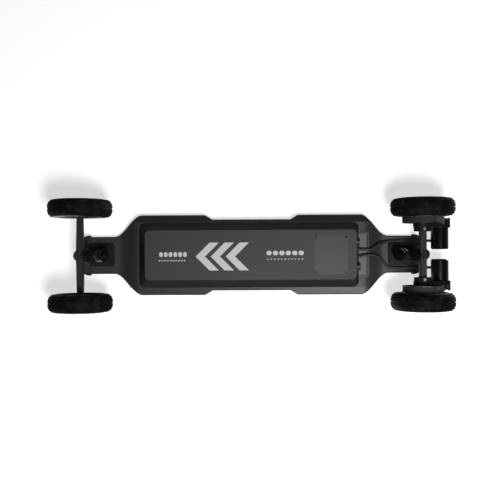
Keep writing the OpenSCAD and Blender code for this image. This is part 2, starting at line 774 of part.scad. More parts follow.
module battery_board() color([0.1, 0.4, 0.2]) {
  translate([bay_front + cell_r + 4, -50, belly_z + belly_wall + 0.3]) cube([20, 100, 1.6]);
  for (y = [-40:16:40]) translate([bay_front + cell_r + 8, y - 4, belly_z + belly_wall + 2.2])
    cube([10, 8, 3]);
}

module controller() color([0.3, 0.3, 0.32]) {
  translate([access_middle[0] - 36, -40, platform_z - 18]) cube([72, 80, 17.7]);
  for (i = [0:7]) translate([access_middle[0] - 34 + i * 9.4, -38, platform_z - 22]) cube([2.4, 76, 4.5]);
}

button_r = 6;
socket_r = 8;
bezel_out = 2;

module facing_back(x, y) {
  translate([x, y, fitting_z]) rotate([0, -90, 0]) children();
}

back_face = fitting_x - 1.5;

module button_bezel() color([0.5, 0.5, 0.52]) facing_back(back_face, button_y) {
  tube(button_r + 3.5, button_r + 0.35, bezel_out);
  translate([0, 0, -8]) difference() {
    cylinder(r = button_r + 1.5, h = 8.01);
    translate([0, 0, 2]) cylinder(r = button_r + 0.35, h = 12);
  }
}

module power_button() color([0.7, 0.7, 0.72]) facing_back(back_face, button_y) difference() {
  translate([0, 0, -4]) cylinder(r = button_r, h = 4 + bezel_out + 0.6);
  translate([0, 0, bezel_out + 5.2]) sphere(r = 6);
}

plug_r = 4;

module charge_socket() color([0.15, 0.15, 0.15]) facing_back(back_face, socket_y) difference() {
  union() {
    translate([0, 0, -10]) cylinder(r = socket_r, h = 10.01);
    cylinder(r = socket_r + 2, h = 1.5);
  }
  translate([0, 0, -8]) cylinder(r = plug_r, h = 20);
}

cap_r = 9;
cap_hinge = socket_r + 3;

// Rubber cover that swings aside on a strap beside the socket
module charge_cap() color([0.04, 0.04, 0.04]) facing_back(back_face, socket_y) {
  translate([0, 0, 1.7]) {
    cylinder(r = cap_r, h = 2.5);
    translate([-3, -cap_hinge, 0]) cube([6, cap_hinge, 2.5]);
    translate([-3, -cap_hinge, 1.25]) rotate([0, 90, 0]) cylinder(r = 1.25, h = 6);
  }
}

// ---- Motor leads ----

// The leads pass under the tray's lip
lead_z = platform_z - tray_lip - lead_r - 0.8;
lead_gap = 0.3;
lead_y = 38;
lead_sides = 12;
tail_x = -axle_x;
gland_height = 5;

// Where each lead's middle runs, from the belly to the deck's tail
left_route = concat(
  [[-belly_rear - 2, 14.5, lead_z], [tail_x + 128, 14.5, lead_z], [tail_x + 108, 26, lead_z + 2]],
  [[tail_x + 95, 31.6, lead_z + 7], [tail_x + 81, 35.5, lead_z + 11], [tail_x + 60, lead_y, neck_z - 5]],
  [[tail_x + 36, lead_y, neck_z - 6], [tail_x + 20, lead_y, neck_z - 7.5], [tail_x, lead_y, neck_z - 8]]
);
right_route = concat(
  [[-belly_rear - 2, -6, lead_z], [tail_x + 149, -2.5, lead_z], [tail_x + 138, -1.2, lead_z]],
  [[tail_x + 117, -2.5, lead_z + 1], [tail_x + 104, -9, lead_z + 3], [tail_x + 92, -19, lead_z + 8]],
  [[tail_x + 83, -31, lead_z + 11], [tail_x + 75, -36, neck_z - 6], [tail_x + 60, -lead_y, neck_z - 5]],
  [[tail_x + 36, -lead_y, neck_z - 6], [tail_x + 20, -lead_y, neck_z - 7.5], [tail_x, -lead_y, neck_z - 8]]
);
// The last stretch hangs from the tail to the motor's gland, on the left side
gland_reach = motor_diameter / 2 + gland_height;
flex_route = [[tail_x - lead_gap, lead_y, neck_z - 8], [tail_x - 16, lead_y, neck_z - 8.4],
  [tail_x - motor_offset[0] + (gland_reach + 12) * sin(gland_turn), lead_y,
    axle_z + motor_offset[1] + (gland_reach + 12) * cos(gland_turn)],
  [tail_x - motor_offset[0] + gland_reach * sin(gland_turn), lead_y,
    axle_z + motor_offset[1] + gland_reach * cos(gland_turn)]];

// Point at u on a smooth curve through the route's points
function spline(p, u) = let (i = min(floor(u), len(p) - 2), s = u - i, a = p[max(i - 1, 0)], b = p[i],
  c = p[i + 1], d = p[min(i + 2, len(p) - 1)])
  b + (c - a) * s / 2 + (2 * a - 5 * b + 4 * c - d) * s * s / 2 + (3 * b - a - 3 * c + d) * s * s * s / 2;
function unit(v) = v / norm(v);

// Round lead swept along a route
module swept(route, r, steps) {
  last = (len(route) - 1) * steps;
  loft([for (k = [0:last]) let (u = k / steps, e = 0.01, p = spline(route, u),
    t = unit(spline(route, min(u + e, len(route) - 1)) - spline(route, max(u - e, 0))),
    side = unit(cross([0, 0, 1], t)), up = cross(t, side))
    [for (j = [0:lead_sides - 1]) let (a = 360 * j / lead_sides)
      p + r * (cos(a) * side - sin(a) * up)]]);
}

module left_lead() color([0.03, 0.03, 0.03]) swept(left_route, lead_r, 3);
module right_lead() color([0.03, 0.03, 0.03]) swept(right_route, lead_r, 2);
module flex_lead(s) color([0.03, 0.03, 0.03]) mirror([0, s > 0 ? 0 : 1, 0]) swept(flex_route, lead_r, 4);

// ---- Every node, by name ----

deck();
grip_tape();
end_bumpers();
riser_pads();
truck_bolts();
belly_cover();
access_cover();
access_screws();
battery_cells();
battery_board();
controller();
button_bezel();
power_button();
charge_socket();
charge_cap();
left_lead();
right_lead();
flex_lead(1);  // left_flex_lead
flex_lead(-1);  // right_flex_lead
front_hanger();
rear_hanger();
axle_nuts(1, axle_shoulder);  // front_axle_nuts
axle_nuts(-1, mount_outer);  // rear_axle_nuts
mount_screws();
for (end = [["front", 1], ["rear", -1]]) {
  baseplate(end[1]);
  truck_arm(end[1]);
  axle(end[1]);
  for (pin = [["inner", inner_pivot], ["outer", outer_pivot]]) {
    color([0.3, 0.3, 0.31]) at_truck(end[1]) on_kingpin(pin[1]) kingpin();
    color([0.05, 0.05, 0.05]) at_truck(end[1]) on_kingpin(pin[1]) bushing_pair();
  }
  for (side = [["left", 1], ["right", -1]]) {
    tyre(end[1], side[1]);
    rim(end[1], side[1]);
    bearings(end[1], side[1]);
  }
}
for (side = [["left", 1], ["right", -1]]) {
  drive_pulley(side[1]);
  belt(side[1]);
  motor_rotor(side[1]);
  motor_can(side[1]);
  motor_mount(side[1]);
}
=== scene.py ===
"""Electric skateboard: its finishes, tyres, belts and leads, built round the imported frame."""
import json
import math

import bmesh
import bpy
from mathutils import Matrix, Vector


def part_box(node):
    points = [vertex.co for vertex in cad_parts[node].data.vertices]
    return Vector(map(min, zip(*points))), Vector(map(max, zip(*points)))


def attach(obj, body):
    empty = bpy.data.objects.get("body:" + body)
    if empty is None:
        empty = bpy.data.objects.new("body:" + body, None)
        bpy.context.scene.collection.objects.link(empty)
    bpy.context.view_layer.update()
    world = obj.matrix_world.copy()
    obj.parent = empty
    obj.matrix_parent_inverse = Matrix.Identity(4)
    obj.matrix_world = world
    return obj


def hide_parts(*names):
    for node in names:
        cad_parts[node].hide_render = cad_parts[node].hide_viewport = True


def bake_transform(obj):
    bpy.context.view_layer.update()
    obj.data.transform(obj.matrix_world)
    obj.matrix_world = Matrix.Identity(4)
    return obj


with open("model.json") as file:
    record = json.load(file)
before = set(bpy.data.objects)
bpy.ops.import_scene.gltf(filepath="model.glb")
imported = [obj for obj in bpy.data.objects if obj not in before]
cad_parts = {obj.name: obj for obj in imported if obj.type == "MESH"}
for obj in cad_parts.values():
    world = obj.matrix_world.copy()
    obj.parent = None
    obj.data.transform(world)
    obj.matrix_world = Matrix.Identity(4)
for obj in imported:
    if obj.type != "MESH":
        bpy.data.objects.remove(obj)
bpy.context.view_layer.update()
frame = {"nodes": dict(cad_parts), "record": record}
nodes = frame["nodes"]
slot_of = {part["node"]: part["material_slot"] for part in frame["record"]["subparts"]}
MM = 0.001

BELT_PITCH = 5.0
DRIVE_TEETH = 66
MOTOR_TEETH = 15


# ---- Shader maths ----

# The Mix node's sockets for colours, which share their names with its other forms
MIX_MASK = 0
MIX_DARK = 6
MIX_LIGHT = 7
MIX_COLOUR = 2


class Wire:
    """A node's output. Arithmetic on it adds Math nodes."""

    def __init__(self, graph, socket):
        self.graph = graph
        self.socket = socket

    def math(self, operation, *others, first=None):
        start = [self] if first is None else [first, self]
        values = dict(enumerate([*start, *others]))
        return self.graph.node("ShaderNodeMath", {"operation": operation}, values)

    def __add__(self, other):
        return self.math("ADD", other)

    __radd__ = __add__

    def __sub__(self, other):
        return self.math("SUBTRACT", other)

    def __rsub__(self, other):
        return self.math("SUBTRACT", first=other)

    def __mul__(self, other):
        return self.math("MULTIPLY", other)

    __rmul__ = __mul__

    def __truediv__(self, other):
        return self.math("DIVIDE", other)

    def __lt__(self, other):
        return self.math("LESS_THAN", other)

    def __gt__(self, other):
        return self.math("GREATER_THAN", other)

    def whole(self):
        return self.math("FLOOR")

    def part(self):
        return self.math("FRACT")

    def wrap(self, span):
        return self.math("FLOORED_MODULO", span)

    def size(self):
        return self.math("ABSOLUTE")

    def wave(self):
        return self.math("SINE")

    def ramp(self, low, high):
        """0 below low, 1 above high and smooth between them."""
        settings = {"interpolation_type": "SMOOTHSTEP"}
        values = {"Value": self, "From Min": low, "From Max": high, "To Min": 0.0, "To Max": 1.0}
        return self.graph.node("ShaderNodeMapRange", settings, values)


class Graph:
    """A node tree, with one way to add a node and one way to fill a socket."""

    def __init__(self, tree):
        self.tree = tree

    def node(self, kind, settings=None, values=None, out=0):
        made = self.tree.nodes.new(kind)
        for name, value in (settings or {}).items():
            setattr(made, name, value)
        for name, value in (values or {}).items():
            self.join(made.inputs[name], value)
        return Wire(self, made.outputs[out])

    def join(self, socket, value):
        if isinstance(value, Wire):
            self.tree.links.new(value.socket, socket)
        else:
            socket.default_value = value


class Paint(Graph):
    """One finish: a material and the nodes behind its Principled shader."""

    def __init__(self, name, roughness=0.5, metallic=0.0, **constants):
        self.material = bpy.data.materials.new(name)
        self.material.use_nodes = True
        super().__init__(self.material.node_tree)
        self.shader = self.tree.nodes["Principled BSDF"]
        self.place = self.node("ShaderNodeTexCoord", out="Object")
        self.put("Roughness", roughness)
        self.put("Metallic", metallic)
        for socket, value in constants.items():
            self.put(socket.replace("_", " "), value)

    def put(self, socket, value):
        self.join(self.shader.inputs[socket], value)

    def axes(self, place=None):
        split = self.node("ShaderNodeSeparateXYZ", None, {0: place or self.place}).socket.node
        return [Wire(self, socket) for socket in split.outputs]

    def stretched(self, stretch):
        return self.node("ShaderNodeVectorMath", {"operation": "MULTIPLY"}, {0: self.place, 1: stretch})

    def noise(self, scale, detail=3.0, stretch=(1, 1, 1)):
        values = {"Vector": self.stretched(stretch), "Scale": scale, "Detail": detail}
        return self.node("ShaderNodeTexNoise", None, values)

    def grains(self, scale, feature="F1"):
        values = {"Vector": self.place, "Scale": scale}
        return self.node("ShaderNodeTexVoronoi", {"feature": feature}, values, out="Distance")

    def mix(self, mask, dark, light):
        """A colour between two, each a grey number, an RGB triple or a Wire."""
        values = {MIX_MASK: mask}
        for socket, colour in ((MIX_DARK, dark), (MIX_LIGHT, light)):
            values[socket] = colour if isinstance(colour, Wire) else tinted(colour)
        return self.node("ShaderNodeMix", {"data_type": "RGBA"}, values, out=MIX_COLOUR)

    def bump(self, height, depth, strength=1.0):
        """Relief of so many metres where height goes from 0 to 1."""
        values = {"Strength": strength, "Distance": depth, "Height": height}
        self.put("Normal", self.node("ShaderNodeBump", None, values))

    def worn_edges(self, width=0.0012):
        """1 along sharp edges and 0 on flats."""
        bevel = self.node("ShaderNodeBevel", {"samples": 4}, {"Radius": width})
        flat = self.node("ShaderNodeNewGeometry", out="Normal")
        settings = {"operation": "DOT_PRODUCT"}
        same = self.node("ShaderNodeVectorMath", settings, {0: bevel, 1: flat}, out="Value")
        patches = self.noise(160.0, 4.0).ramp(0.38, 0.62)
        return (1 - same).ramp(0.01, 0.12) * patches

    def facing(self):
        """How far the surface faces straight down, from 0 to 1."""
        flat = self.node("ShaderNodeNewGeometry", out="Normal")
        return self.axes(flat)[2] * -1

    def twill(self, tow):
        """Height and over-or-under mask of a 2 by 2 twill with tows this wide."""
        x, y, _ = self.axes()
        across = x / tow
        along = y / tow
        over = (across.whole() + along.whole()).wrap(4.0) < 1.5
        crown_x = (across.part() * math.pi).wave()
        crown_y = (along.part() * math.pi).wave()
        return crown_x * over + crown_y * (1 - over), over


def tinted(colour):
    rgb = colour if isinstance(colour, tuple) else (colour,) * 3
    return (*rgb, 1.0)


# ---- Finishes ----

TOW = 1.75 * MM
TRAY_HALF = 58 * MM
TRAY_FRONT = -304 * MM
TRAY_SLOT = -325.5 * MM
TRAY_REAR = -329.5 * MM
LATHE_FEED = 0.35 * MM
BELT_CORD = 1.2 * MM
LIGHTER_FROM = 486 * MM
LIGHTER_TO = 496 * MM
STRANDS = 8.0
CELL_PITCH = 18.9 * MM
TRACK_PITCH = 1.8 * MM
PAD_PITCH = 2.4 * MM


def carbon():
    paint = Paint("carbon_twill", Coat_Weight=0.30, Coat_Roughness=0.24, Specular_IOR_Level=0.45)
    height, over = paint.twill(TOW)
    clouds = paint.noise(9.0, 2.0)
    x, y, _ = paint.axes()
    beside = y.size() < TRAY_HALF
    # Painted light: the tray's floor is painted lighter where light catches it, and the slot behind it is
    # painted near-black as painted shadow.
    floor = (x > TRAY_SLOT) * (x < TRAY_FRONT) * beside
    slot = (x > TRAY_REAR) * (x < TRAY_SLOT) * beside
    weave = paint.mix(over * (0.75 + 0.25 * height), 0.008, 0.036)
    paint.put("Base Color", paint.mix(slot, paint.mix(floor, weave, 0.085), 0.003))
    paint.put("Roughness", 0.36 + 0.14 * clouds + 0.06 * over)
    paint.bump(height, 0.06 * MM, 0.6)
    return paint.material


def belly_shell():
    paint = Paint("belly_satin_twill", Coat_Weight=0.06, Coat_Roughness=0.35, Specular_IOR_Level=0.35)
    height, over = paint.twill(TOW)
    # Painted shade: the slopes that turn away from straight down are painted far darker than the flat
    # panel's satin tone.
    panel = paint.facing().ramp(0.975, 0.995)
    clouds = paint.noise(6.0, 3.0)
    weave = paint.mix(over, 0.030, 0.044)
    slope_painted_shade = paint.mix(over, 0.006, 0.011)
    lightened = paint.worn_edges(1.5 * MM)
    shade = paint.mix(panel, slope_painted_shade, weave)
    paint.put("Base Color", paint.mix(lightened * 0.35, shade, 0.11))
    paint.put("Roughness", 0.46 + 0.16 * clouds - 0.08 * lightened)
    paint.bump(height, 0.035 * MM, 0.5)
    return paint.material


def grip():
    paint = Paint("grip_grit")
    grit = paint.grains(1500.0)
    scuff = paint.noise(14.0, 5.0).ramp(0.45, 0.75)
    paint.put("Base Color", paint.mix(scuff * 0.5 + 0.4 * grit, 0.010, 0.045))
    paint.put("Roughness", 0.80 + 0.15 * scuff)
    paint.bump(1 - grit, 0.35 * MM)
    return paint.material


def moulded_rubber():
    paint = Paint("moulded_rubber")
    skin = paint.noise(900.0, 3.0)
    dust = paint.noise(35.0, 4.0).ramp(0.5, 0.8)
    paint.put("Base Color", paint.mix(dust, 0.010, 0.024))
    paint.put("Roughness", 0.56 + 0.2 * dust)
    paint.bump(skin, 0.05 * MM)
    return paint.material


def tyre_rubber():
    paint = Paint("tyre_rubber", Specular_IOR_Level=0.07)
    skin = paint.noise(700.0, 4.0)
    dust = paint.noise(60.0, 6.0).ramp(0.46, 0.72)
    scuffed = paint.noise(260.0, 2.0).ramp(0.55, 0.75)
    paint.put("Base Color", paint.mix(dust * 0.7 + scuffed * 0.3, 0.004, 0.024))
    paint.put("Roughness", 0.58 + 0.24 * dust)
    paint.bump(skin, 0.12 * MM)
    return paint.material


def black_oxide():
    paint = Paint("black_oxide_steel", metallic=0.85)
    mottle = paint.noise(220.0, 4.0)
    edge = paint.worn_edges(0.6 * MM)
    paint.put("Base Color", paint.mix(edge, paint.mix(mottle, 0.008, 0.022), 0.16))
    paint.put("Roughness", 0.30 + 0.2 * mottle)
    paint.bump(mottle, 0.03 * MM, 0.5)
    return paint.material


def bright_steel(name, shade):
    paint = Paint(name, metallic=1.0)
    drawn = paint.noise(420.0, 3.0, (1, 0.06, 1))
    smudge = paint.noise(45.0, 3.0)
    paint.put("Base Color", paint.mix(smudge, shade * 0.72, shade))
    paint.put("Roughness", 0.36 + 0.2 * drawn)
    paint.bump(drawn, 0.02 * MM, 0.5)
    return paint.material


def anodised(name, dark, light, rough, edge_shade):
    paint = Paint(name, metallic=0.25, Specular_IOR_Level=0.25)
    blasted = paint.noise(1300.0, 2.0)
    clouds = paint.noise(16.0, 3.0)
    edge = paint.worn_edges(1.0 * MM)
    paint.put("Base Color", paint.mix(edge * 0.6, paint.mix(clouds, dark, light), edge_shade))
    paint.put("Roughness", rough + 0.14 * clouds - 0.1 * edge)
    paint.bump(blasted, 0.035 * MM)
    return paint.material


def motor_can_gloss():
    paint = Paint("motor_can_gloss", metallic=0.35, Coat_Weight=0.3, Coat_Roughness=0.14)
    _, y, _ = paint.axes()
    turned = (y * (math.tau / LATHE_FEED)).wave() * 0.5 + 0.5
    haze = paint.noise(30.0, 4.0)
    paint.put("Base Color", paint.mix(haze, 0.002, 0.006))
    paint.put("Roughness", 0.16 + 0.14 * haze)
    paint.bump(turned, 0.006 * MM, 0.6)
    return paint.material


def toothed_alloy():
    """Drums cut with teeth, drawn round the rear axle."""
    paint = Paint("pulley_alloy", metallic=0.8)
    low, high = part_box("left_drive_pulley")
    x, _, z = paint.axes()
    turn = (z - (low.z + high.z) / 2).math("ARCTAN2", x - (low.x + high.x) / 2)
    teeth = (turn * DRIVE_TEETH).wave() * 0.5 + 0.5
    wear = paint.noise(80.0, 3.0)
    edge = paint.worn_edges(0.8 * MM)
    paint.put("Base Color", paint.mix(edge, paint.mix(wear, 0.05, 0.10), 0.40))
    paint.put("Roughness", 0.30 + 0.2 * wear)
    paint.bump(teeth, 0.5 * MM, 0.7)
    return paint.material


def filled_plastic():
    paint = Paint("glass_filled_plastic")
    flecks = paint.noise(520.0, 2.0, (1, 0.35, 1)).ramp(0.56, 0.66)
    clouds = paint.noise(20.0, 3.0)
    edge = paint.worn_edges(1.0 * MM)
    body = paint.mix(clouds, 0.018, 0.030)
    paint.put("Base Color", paint.mix(flecks * 0.5 + edge * 0.5, body, 0.085))
    paint.put("Roughness", 0.42 + 0.16 * clouds)
    paint.bump(flecks, 0.03 * MM)
    return paint.material


def moulded_plastic():
    paint = Paint("moulded_black_plastic")
    texture = paint.grains(1100.0, "SMOOTH_F1")
    clouds = paint.noise(50.0, 3.0)
    paint.put("Base Color", paint.mix(clouds, 0.012, 0.026))
    paint.put("Roughness", 0.38 + 0.18 * clouds)
    paint.bump(texture, 0.04 * MM)
    return paint.material


def cover_plate():
    paint = Paint("cover_plate_grained")
    leather = paint.grains(420.0, "SMOOTH_F1")
    drawn = paint.noise(60.0, 4.0, (0.1, 1, 1))
    edge = paint.worn_edges(0.8 * MM)
    paint.put("Base Color", paint.mix(edge * 0.6, paint.mix(drawn, 0.027, 0.043), 0.10))
    paint.put("Roughness", 0.42 + 0.14 * drawn)
    paint.bump(leather, 0.05 * MM)
    return paint.material


def urethane():
    paint = Paint("cast_urethane", Coat_Weight=0.15, Coat_Roughness=0.3)
    swirl = paint.noise(70.0, 3.0)
    paint.put("Base Color", paint.mix(swirl, 0.008, 0.020))
    paint.put("Roughness", 0.34 + 0.16 * swirl)
    paint.bump(swirl, 0.1 * MM, 0.4)
    return paint.material


def belt_rubber():
    paint = Paint("belt_rubber")
    x, y, _ = paint.axes()
    cords = (y * (math.tau / BELT_CORD)).wave() * 0.5 + 0.5
    chalk = paint.noise(140.0, 4.0)
    # The belt's colour is lighter where it runs rearward of x = -486 mm, towards the motor's pulley.
    lightened = (x * -1).ramp(LIGHTER_FROM, LIGHTER_TO)
    light = paint.mix(lightened, 0.022, 0.090)
    paint.put("Base Color", paint.mix(cords * 0.5 + chalk * 0.5, 0.007, light))
    paint.put("Roughness", 0.60 + 0.18 * chalk)
    paint.bump(cords, 0.12 * MM)
    return paint.material


def braided_sleeve():
    """Crossed strands, drawn round and along each lead by its UV map."""
    paint = Paint("braided_sleeve")
    round_it, along, _ = paint.axes(paint.node("ShaderNodeTexCoord", out="UV"))
    one_way = ((round_it * STRANDS + along) * math.tau).wave()
    other_way = ((round_it * STRANDS - along) * math.tau).wave()
    braid = one_way * other_way * 0.5 + 0.5
    dust = paint.noise(90.0, 4.0)
    paint.put("Base Color", paint.mix(braid * 0.6 + dust * 0.4, 0.006, 0.028))
    paint.put("Roughness", 0.50 + 0.2 * dust)
    paint.bump(braid, 0.25 * MM)
    return paint.material


def heatsink():
    paint = Paint("heatsink_cast", metallic=0.9)
    cast = paint.noise(600.0, 4.0)
    clouds = paint.noise(24.0, 3.0)
    paint.put("Base Color", paint.mix(clouds, 0.22, 0.36))
    paint.put("Roughness", 0.38 + 0.2 * cast)
    paint.bump(cast, 0.06 * MM)
    return paint.material


def cell_wrap():
    paint = Paint("cell_wrap")
    x, _, _ = paint.axes()
    seam = (x / CELL_PITCH).part().ramp(0.46, 0.5) * 0.4
    crinkle = paint.noise(180.0, 3.0)
    paint.put("Base Color", paint.mix(seam + crinkle * 0.3, (0.03, 0.13, 0.34), (0.10, 0.28, 0.55)))
    paint.put("Roughness", 0.26 + 0.2 * crinkle)
    paint.bump(crinkle, 0.08 * MM)
    return paint.material


def circuit():
    paint = Paint("circuit_lacquer")
    x, y, _ = paint.axes()
    tracks = ((x / TRACK_PITCH).part() < 0.3) * (paint.noise(90.0, 1.0, (1, 0.2, 1)) > 0.5)
    rows = (y / PAD_PITCH).part() < 0.2
    copper = tracks * 0.7 + rows * 0.2
    paint.put("Base Color", paint.mix(copper, (0.01, 0.09, 0.03), (0.08, 0.30, 0.12)))
    paint.put("Roughness", 0.25 + 0.15 * tracks)
    paint.bump(tracks, 0.05 * MM)
    return paint.material


def printed_mark():
    paint = Paint("printed_mark_pale")
    speck = paint.noise(900.0, 3.0)
    worn = paint.noise(70.0, 5.0).ramp(0.62, 0.8)
    paint.put("Base Color", paint.mix(worn * 0.5 + speck * 0.12, 0.62, 0.36))
    paint.put("Roughness", 0.42 + 0.2 * speck)
    paint.bump(speck, 0.01 * MM)
    return paint.material


finish = {
    "carbon": carbon(),
    "grip": grip(),
    "bumper_rubber": moulded_rubber(),
    "black_steel": black_oxide(),
    "belly_shell": belly_shell(),
    "cover_plate": cover_plate(),
    "cell_wrap": cell_wrap(),
    "circuit": circuit(),
    "heatsink": heatsink(),
    "bright_metal": bright_steel("bright_steel", 0.26),
    "black_plastic": moulded_plastic(),
    "lead_sleeve": braided_sleeve(),
    "truck_alloy": anodised("hanger_satin_anodised", 0.018, 0.030, 0.50, 0.09),
    "arm_alloy": anodised("arm_black_anodised", 0.004, 0.009, 0.50, 0.06),
    "urethane": urethane(),
    "tyre_rubber": tyre_rubber(),
    "rim_plastic": filled_plastic(),
    "bearing_steel": bright_steel("bearing_steel", 0.50),
    "pulley_alloy": toothed_alloy(),
    "belt_rubber": belt_rubber(),
    "can_alloy": motor_can_gloss(),
    "button": bright_steel("button_dark_steel", 0.05),
    "mark": printed_mark(),
}
for name, node in nodes.items():
    node.data.materials.clear()
    node.data.materials.append(finish["button" if "button" in name else slot_of[name]])


# ---- Making pieces ----

def build(name, points, faces, material, smooth=True):
    mesh = bpy.data.meshes.new(name)
    mesh.from_pydata([tuple(point) for point in points], [], faces)
    mesh.validate()
    mesh.materials.append(material)
    for face in mesh.polygons:
        face.use_smooth = smooth
    piece = bpy.data.objects.new(name, mesh)
    bpy.context.scene.collection.objects.link(piece)
    return piece


def turn_normals_out(piece):
    work = bmesh.new()
    work.from_mesh(piece.data)
    bmesh.ops.recalc_face_normals(work, faces=work.faces)
    work.to_mesh(piece.data)
    work.free()


def closed_rings(rings, base=0, capped=False):
    """Faces that join each ring of points to the next, and the last to the first unless capped."""
    count = len(rings[0])
    total = len(rings)
    faces = []
    for i in range(total - 1 if capped else total):
        here = base + i * count
        there = base + (i + 1) % total * count
        for j in range(count):
            k = (j + 1) % count
            faces.append((here + j, here + k, there + k, there + j))
    if capped:
        faces.append(tuple(base + j for j in reversed(range(count))))
        faces.append(tuple(base + (total - 1) * count + j for j in range(count)))
    return faces


def joined(rings):
    return [point for ring in rings for point in ring]


# ---- Tyres ----

TREAD_R = 85.7
SIDE = 23.8
BEAD_R = 43.8
BEAD_HALF = 16.0
BEAD_THICK = 6
SIDEWALL_R = 49.4
SIDE_THICK = 4.5
TREAD_THICK = 6
LINER_RISE = 1.5
FULLNESS = 0.8
CROWN = 90
WALL_STEP = 4
LINER_STEP = 8
RIDGES = (84, 98, 112)
RIDGE_WIDTH = 2.2
RIDGE_RISE = 0.7
GROOVE_WIDTH = 3.0
GROOVE_DEPTH = 0.5
AROUND = 144
KNOBS = 60
KNOB_RISE = 1.5

# Height over the tread and share of the full size, for each ring of a knob
KNOB_RINGS = ((-1.4, 1.0), (KNOB_RISE - 0.6, 0.9), (KNOB_RISE, 0.72))

# Degrees from the crown, half sizes across and along, and stagger in knobs, for each pair of rows
TREAD_ROWS = ((8, 2.3, 3.1, 0.0), (22, 2.1, 2.9, 0.5), (39, 2.3, 3.2, 0.0), (59, 1.8, 2.6, 0.5))


def signed_power(value):
    return math.copysign(abs(value) ** FULLNESS, value)


# The outer wall starts so many degrees round its section, where it leaves the bead
FIRST_TURN = -46
LAST_TURN = 180 - FIRST_TURN
FOOT_SHARE = -signed_power(math.sin(math.radians(FIRST_TURN)))
WALL_FOOT = (2 * SIDEWALL_R - TREAD_R * (1 - FOOT_SHARE)) / (1 + FOOT_SHARE)


def wall_point(turn, half, top, foot):
    """Point across the tyre as (radius, offset) at an angle round its section."""
    c = math.cos(math.radians(turn))
    s = math.sin(math.radians(turn))
    return (top + foot) / 2 + (top - foot) / 2 * signed_power(s), half * signed_power(c)


def outer_wall(turn):
    """Outer wall with its raised ridges on both sides and the groove round its crown."""
    radius, offset = wall_point(turn, SIDE, TREAD_R, WALL_FOOT)
    lean = abs(turn - CROWN)
    ridge = sum(math.exp(-((lean - at) / RIDGE_WIDTH) ** 2) for at in RIDGES)
    groove = math.exp(-(lean / GROOVE_WIDTH) ** 2)
    return radius - GROOVE_DEPTH * groove, offset + math.copysign(RIDGE_RISE * ridge, offset)


def tyre_rings():
    """The hollow section, out over the tread and back along the liner, at each step round the tyre."""
    liner = (SIDE - SIDE_THICK, TREAD_R - TREAD_THICK, BEAD_R + LINER_RISE)
    section = [(BEAD_R, BEAD_HALF), (SIDEWALL_R, BEAD_HALF)]
    section += [outer_wall(turn) for turn in range(FIRST_TURN, LAST_TURN + 1, WALL_STEP)]
    section += [(SIDEWALL_R, -BEAD_HALF), (BEAD_R, -BEAD_HALF), (BEAD_R, BEAD_THICK - BEAD_HALF)]
    section += [wall_point(turn, *liner) for turn in range(LAST_TURN, FIRST_TURN - 1, -LINER_STEP)]
    section += [(BEAD_R, BEAD_HALF - BEAD_THICK)]
    rings = []
    for i in range(AROUND):
        a = math.tau * i / AROUND
        rings.append([(r * math.cos(a) * MM, y * MM, r * math.sin(a) * MM) for r, y in section])
    return rings


def knob(row, a, half_across, half_along):
    """Chamfered block on the tread, as rings of four points."""
    radius, offset = wall_point(row, SIDE, TREAD_R, BEAD_R)
    next_radius, next_offset = wall_point(row + 1, SIDE, TREAD_R, BEAD_R)
    across = Vector((next_offset - offset, next_radius - radius)).normalized()
    out = Vector((across.y, -across.x))
    if out.dot(Vector((offset, radius - (TREAD_R + BEAD_R) / 2))) < 0:
        out = -out
    spoke = Vector((math.cos(a), 0, math.sin(a)))
    side = Vector((0, 1, 0))
    along = Vector((-math.sin(a), 0, math.cos(a)))
    middle = spoke * radius + side * offset
    rise = side * out.x + spoke * out.y
    flat = side * across.x + spoke * across.y
    rings = []
    for level, share in KNOB_RINGS:
        ring = []
        for u, v in ((-1, -1), (1, -1), (1, 1), (-1, 1)):
            place = middle + rise * level + flat * (u * half_across * share)
            ring.append((place + along * (v * half_along * share)) * MM)
        rings.append(ring)
    return rings


def knob_rings():
    """Every knob on a tyre, in rows on both sides of the crown."""
    knobs = []
    for lean, half_across, half_along, stagger in TREAD_ROWS:
        for row, shift in ((CROWN - lean, stagger), (CROWN + lean, 0.5 - stagger)):
            for i in range(KNOBS):
                knobs.append(knob(row, math.tau * (i + shift) / KNOBS, half_across, half_along))
    return knobs


def add_tyre(name):
    rings = tyre_rings()
    points = joined(rings)
    faces = closed_rings(rings)
    smooth_until = len(faces)
    for block in knob_rings():
        faces += closed_rings(block, len(points), capped=True)
        points += joined(block)
    piece = build(name + "_knobbed", points, faces, finish["tyre_rubber"])
    turn_normals_out(piece)
    for i, face in enumerate(piece.data.polygons):
        face.use_smooth = i < smooth_until
    low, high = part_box(name)
    piece.location = (low + high) / 2
    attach(piece, name.removesuffix("_tyre") + "_wheel")
    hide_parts(name)


for end in ("front", "rear"):
    for side in ("left", "right"):
        add_tyre(f"{end}_{side}_tyre")


# ---- Toothed belts ----

PITCH_LINE = 0.57
BELT_GAP = 0.3
BELT_BACK = 2.25
BELT_TOOTH = 0.9
BACK_RIB = 0.22
TOOTH_SLICES = 6


def belt_stretches(large, small, span):
    """Lean of a belt's straights, and the lengths of its four stretches from the large pulley on."""
    lean = math.acos((large - small) / span)
    straight = span * math.sin(lean)
    return lean, [large * (math.tau - 2 * lean), straight, small * 2 * lean, straight]


